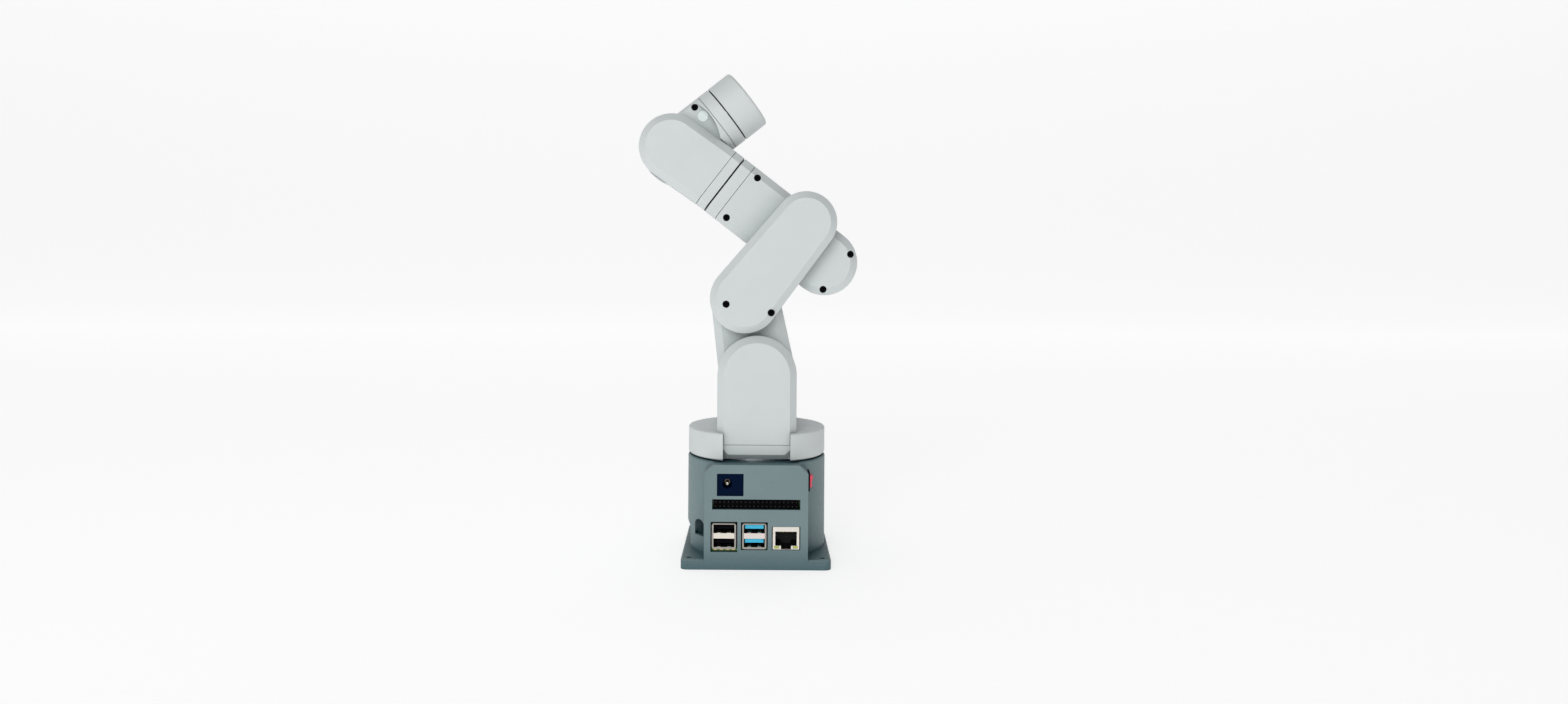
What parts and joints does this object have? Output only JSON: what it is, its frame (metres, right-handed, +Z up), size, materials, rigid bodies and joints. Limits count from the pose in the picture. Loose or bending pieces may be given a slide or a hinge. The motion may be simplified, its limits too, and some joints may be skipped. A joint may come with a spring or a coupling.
{
  "type": "desktop robot arm",
  "caption": "Desktop six-axis robot arm: white jointed links on a turntable, a slate base with computer ports and a power rocker, and a round tool flange.",
  "frame": {"origin": "on the first joint's vertical axis, at the bottom of the base", "axes": "+Z up along the first joint's axis; the computer's ports face -Y; at rest the elbow leans towards +X and the wrist towards -X"},
  "size_m": [0.1366, 0.09, 0.3022],
  "materials": {
    "slate_shell": "fine matt moulding",
    "screw_black": "blackened steel",
    "green_board": "solder mask",
    "black_plastic": "matt black",
    "bare_metal": "tinned steel",
    "blue_plastic": "satin",
    "led_lens": "glossy",
    "gold_pin": "plated",
    "navy_plastic": "satin",
    "red_plastic": "glossy",
    "bearing_steel": "ground steel",
    "horn_metal": "machined",
    "white_shell": "fine matt moulding",
    "clear_lens": "glossy diffuser"
  },
  "bodies": {
    "base": {"base_shell": "slate_shell", "base_bottom_plate": "slate_shell", "bottom_screws": "screw_black", "computer_board": "green_board", "board_chips": "black_plastic", "board_standoffs": "black_plastic", "side_ports": "bare_metal", "usb2_stack": "bare_metal", "usb2_tongues": "black_plastic", "usb3_stack": "bare_metal", "usb3_tongues": "blue_plastic", "ethernet_jack": "bare_metal", "ethernet_leds": "led_lens", "power_board": "green_board", "gpio_header": "black_plastic", "gpio_pins": "gold_pin", "dc_jack": "navy_plastic", "dc_pin": "bare_metal", "switch_bezel": "black_plastic", "j1_servo": "black_plastic", "j1_bearing": "bearing_steel"},
    "rocker": {"switch_rocker": "red_plastic"},
    "turntable": {"turntable_disc": "white_shell", "j1_horn": "horn_metal", "shoulder_housing": "white_shell", "shoulder_side_cover": "white_shell", "shoulder_far_cover": "white_shell", "j2_horn": "horn_metal"},
    "upper_arm": {"upper_arm_shell": "white_shell", "upper_arm_cover": "white_shell", "upper_arm_far_cover": "white_shell", "upper_arm_screws": "screw_black", "j2_servo": "black_plastic", "j2_bearing": "bearing_steel", "j3_horn": "horn_metal"},
    "forearm": {"forearm_shell": "white_shell", "forearm_cover": "white_shell", "forearm_screws": "screw_black", "forearm_ring": "white_shell", "j3_servo": "black_plastic", "j3_bearing": "bearing_steel", "j4_servo": "black_plastic"},
    "wrist": {"wrist_ring": "white_shell", "wrist_shell": "white_shell", "wrist_screws": "screw_black", "j4_horn": "horn_metal", "j5_horn": "horn_metal", "j5_bearing": "bearing_steel"},
    "tool_head": {"tool_housing": "white_shell", "tool_ring": "white_shell", "tool_screws": "screw_black", "indicator_lens": "clear_lens", "j5_servo": "black_plastic", "j6_servo": "bare_metal"},
    "flange": {"tool_flange": "white_shell", "j6_horn": "horn_metal"}
  },
  "joints": [
    {"name": "switch_rock", "type": "hinge", "parent": "base", "child": "rocker", "pos_m": [0.0304, -0.0376, 0.0522], "axis": [0, -1, 0], "range_deg": [0, 14]},
    {"name": "j1_base_turn", "type": "hinge", "parent": "base", "child": "turntable", "pos_m": [0, 0, 0], "axis": [0, 0, 1], "range_deg": [-70, 250]},
    {"name": "j2_shoulder", "type": "hinge", "parent": "turntable", "child": "upper_arm", "pos_m": [0, 0, 0.1142], "axis": [0, 1, 0], "range_deg": [-88, 90]},
    {"name": "j3_elbow", "type": "hinge", "parent": "upper_arm", "child": "forearm", "pos_m": [0.0293, 0, 0.2079], "axis": [0, -1, 0], "range_deg": [-200, 26]},
    {"name": "j4_forearm_roll", "type": "hinge", "parent": "forearm", "child": "wrist", "pos_m": [-0.02099, 0, 0.23142], "axis": [-0.7923, 0, 0.6101], "range_deg": [-155, 155]},
    {"name": "j5_wrist", "type": "hinge", "parent": "wrist", "child": "tool_head", "pos_m": [-0.0542, 0, 0.25517], "axis": [0, -1, 0], "range_deg": [0, 219]},
    {"name": "j6_flange_turn", "type": "hinge", "parent": "tool_head", "child": "flange", "pos_m": [-0.05172, 0, 0.25203], "axis": [0.7837, 0, 0.6211], "range_deg": [-180, 180]}
  ]
}
